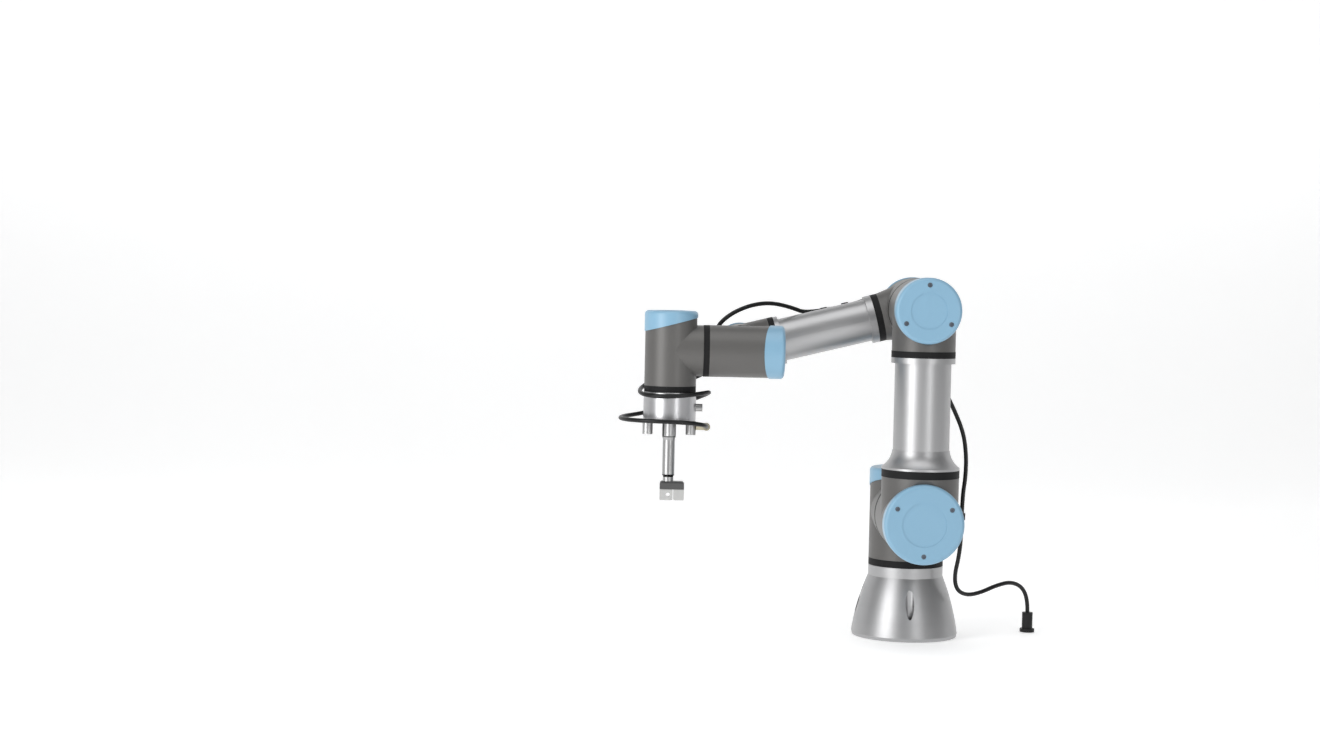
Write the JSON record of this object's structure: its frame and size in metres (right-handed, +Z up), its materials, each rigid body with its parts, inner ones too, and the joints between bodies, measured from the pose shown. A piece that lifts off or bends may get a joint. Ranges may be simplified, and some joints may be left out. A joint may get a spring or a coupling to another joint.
{
  "type": "collaborative robot arm",
  "caption": "Table-mounted collaborative robot arm with round jointed modules, aluminium tubes, blue lids, a slim two-jaw gripper and a black hose led along the arm.",
  "frame": {"origin": "centre of the circle of mounting bolts on the base's bottom face", "axes": "+Z up along the base axis; the arm reaches toward -X at rest; the shoulder and elbow lids face -Y"},
  "size_m": [0.5173, 0.2358, 0.4336],
  "materials": {
    "satin_aluminium": "satin drawn aluminium with a fine lengthwise grain",
    "turned_aluminium": "fine-turned clear-anodised aluminium",
    "housing_grey": "semi-matt warm grey powder coat on cast aluminium",
    "lid_plastic": "soft light-blue moulded plastic with a faint grain",
    "seal_rubber": "black rubber",
    "screws": "dark zinc-plated socket screws",
    "drive_works": "motor stacks, shaft and board, out of sight",
    "gear_steel": "ground gear and bearing steel, out of sight",
    "gripper_steel": "bright machined steel",
    "jaw_steel": "bright ground steel",
    "fitting_brass": "dulled nickel-plated brass",
    "gland_plastic": "black nylon",
    "clip_plastic": "black nylon",
    "hose": "black polyurethane hose, slightly glossy"
  },
  "bodies": {
    "base": {"base_casting": "satin_aluminium", "base_cable_gland": "gland_plastic", "base_hose": "hose", "supply_connector": "gland_plastic"},
    "shoulder": {"shoulder_housing": "housing_grey", "shoulder_lid": "lid_plastic", "shoulder_lid_screws": "screws", "shoulder_seal_ring": "seal_rubber", "shoulder_motor": "drive_works", "shoulder_gear": "gear_steel", "shoulder_hose_clip": "clip_plastic", "shoulder_hose": "hose"},
    "upper_arm": {"upper_arm_housing": "housing_grey", "upper_arm_lid": "lid_plastic", "upper_arm_lid_screws": "screws", "upper_arm_seal_rings": "seal_rubber", "upper_arm_motor": "drive_works", "upper_arm_gear": "gear_steel", "upper_arm_flange": "satin_aluminium", "upper_arm_tube": "satin_aluminium", "elbow_housing": "housing_grey", "elbow_lid": "lid_plastic", "upper_arm_hose_clip": "clip_plastic", "elbow_hose": "hose"},
    "forearm": {"forearm_housing": "housing_grey", "forearm_lid": "lid_plastic", "forearm_lid_screws": "screws", "forearm_seal_rings": "seal_rubber", "forearm_motor": "drive_works", "forearm_gear": "gear_steel", "forearm_tube": "satin_aluminium", "wrist_1_housing": "housing_grey", "wrist_1_lid": "lid_plastic", "wrist_1_drive": "drive_works", "forearm_hose_clips": "clip_plastic", "wrist_1_hose": "hose"},
    "wrist_1": {"wrist_2_housing": "housing_grey", "wrist_2_lid": "lid_plastic", "wrist_2_lid_screws": "screws", "wrist_2_seal_ring": "seal_rubber", "wrist_2_drive": "drive_works", "wrist_2_hose_clip": "clip_plastic", "wrist_2_hose": "hose"},
    "wrist_2": {"wrist_3_housing": "housing_grey", "wrist_3_lid": "lid_plastic", "wrist_3_lid_screws": "screws", "wrist_3_seal_ring": "seal_rubber", "wrist_3_drive": "drive_works", "wrist_3_hose_clip": "clip_plastic", "wrist_3_hose": "hose"},
    "tool": {"tool_flange": "turned_aluminium", "tool_connector": "gripper_steel", "adapter_posts": "gripper_steel", "gripper_body": "gripper_steel", "jaw_guide": "gripper_steel", "hose_fitting": "fitting_brass"},
    "jaw_left": {"jaw_left": "jaw_steel"},
    "jaw_right": {"jaw_right": "jaw_steel"}
  },
  "joints": [
    {"name": "base_turn", "type": "hinge", "parent": "base", "child": "shoulder", "pos_m": [0, 0, 0], "axis": [0, 0, 1], "range_deg": [-180, 180], "deforming": ["base_hose"]},
    {"name": "shoulder_lift", "type": "hinge", "parent": "shoulder", "child": "upper_arm", "pos_m": [0, -0.1198, 0.1519], "axis": [0, 1, 0], "range_deg": [-90, 90], "deforming": ["shoulder_hose"]},
    {"name": "elbow_fold", "type": "hinge", "parent": "upper_arm", "child": "forearm", "pos_m": [0, -0.0273, 0.39555], "axis": [0, -1, 0], "range_deg": [-150, 45], "deforming": ["elbow_hose"]},
    {"name": "wrist_1_turn", "type": "hinge", "parent": "forearm", "child": "wrist_1", "pos_m": [-0.20673, -0.0273, 0.34324], "axis": [0, 1, 0], "range_deg": [-75, 90], "deforming": ["wrist_1_hose"]},
    {"name": "wrist_2_turn", "type": "hinge", "parent": "wrist_1", "child": "wrist_2", "pos_m": [-0.20673, -0.11235, 0.34324], "axis": [1, 0, 0], "range_deg": [-120, 120], "deforming": ["wrist_2_hose"]},
    {"name": "wrist_3_turn", "type": "hinge", "parent": "wrist_2", "child": "tool", "pos_m": [-0.29208, -0.11235, 0.34324], "axis": [0, 0, 1], "range_deg": [-180, 180], "deforming": ["wrist_3_hose"]},
    {"name": "jaw_left_slide", "type": "slide", "parent": "tool", "child": "jaw_left", "axis": [-1, 0, 0], "range_m": [0, 0.003]},
    {"name": "jaw_right_slide", "type": "slide", "parent": "tool", "child": "jaw_right", "axis": [1, 0, 0], "range_m": [0, 0.003]}
  ],
  "couplings": [
    {"joint": "jaw_right_slide", "follows": "jaw_left_slide", "ratio": 1}
  ]
}
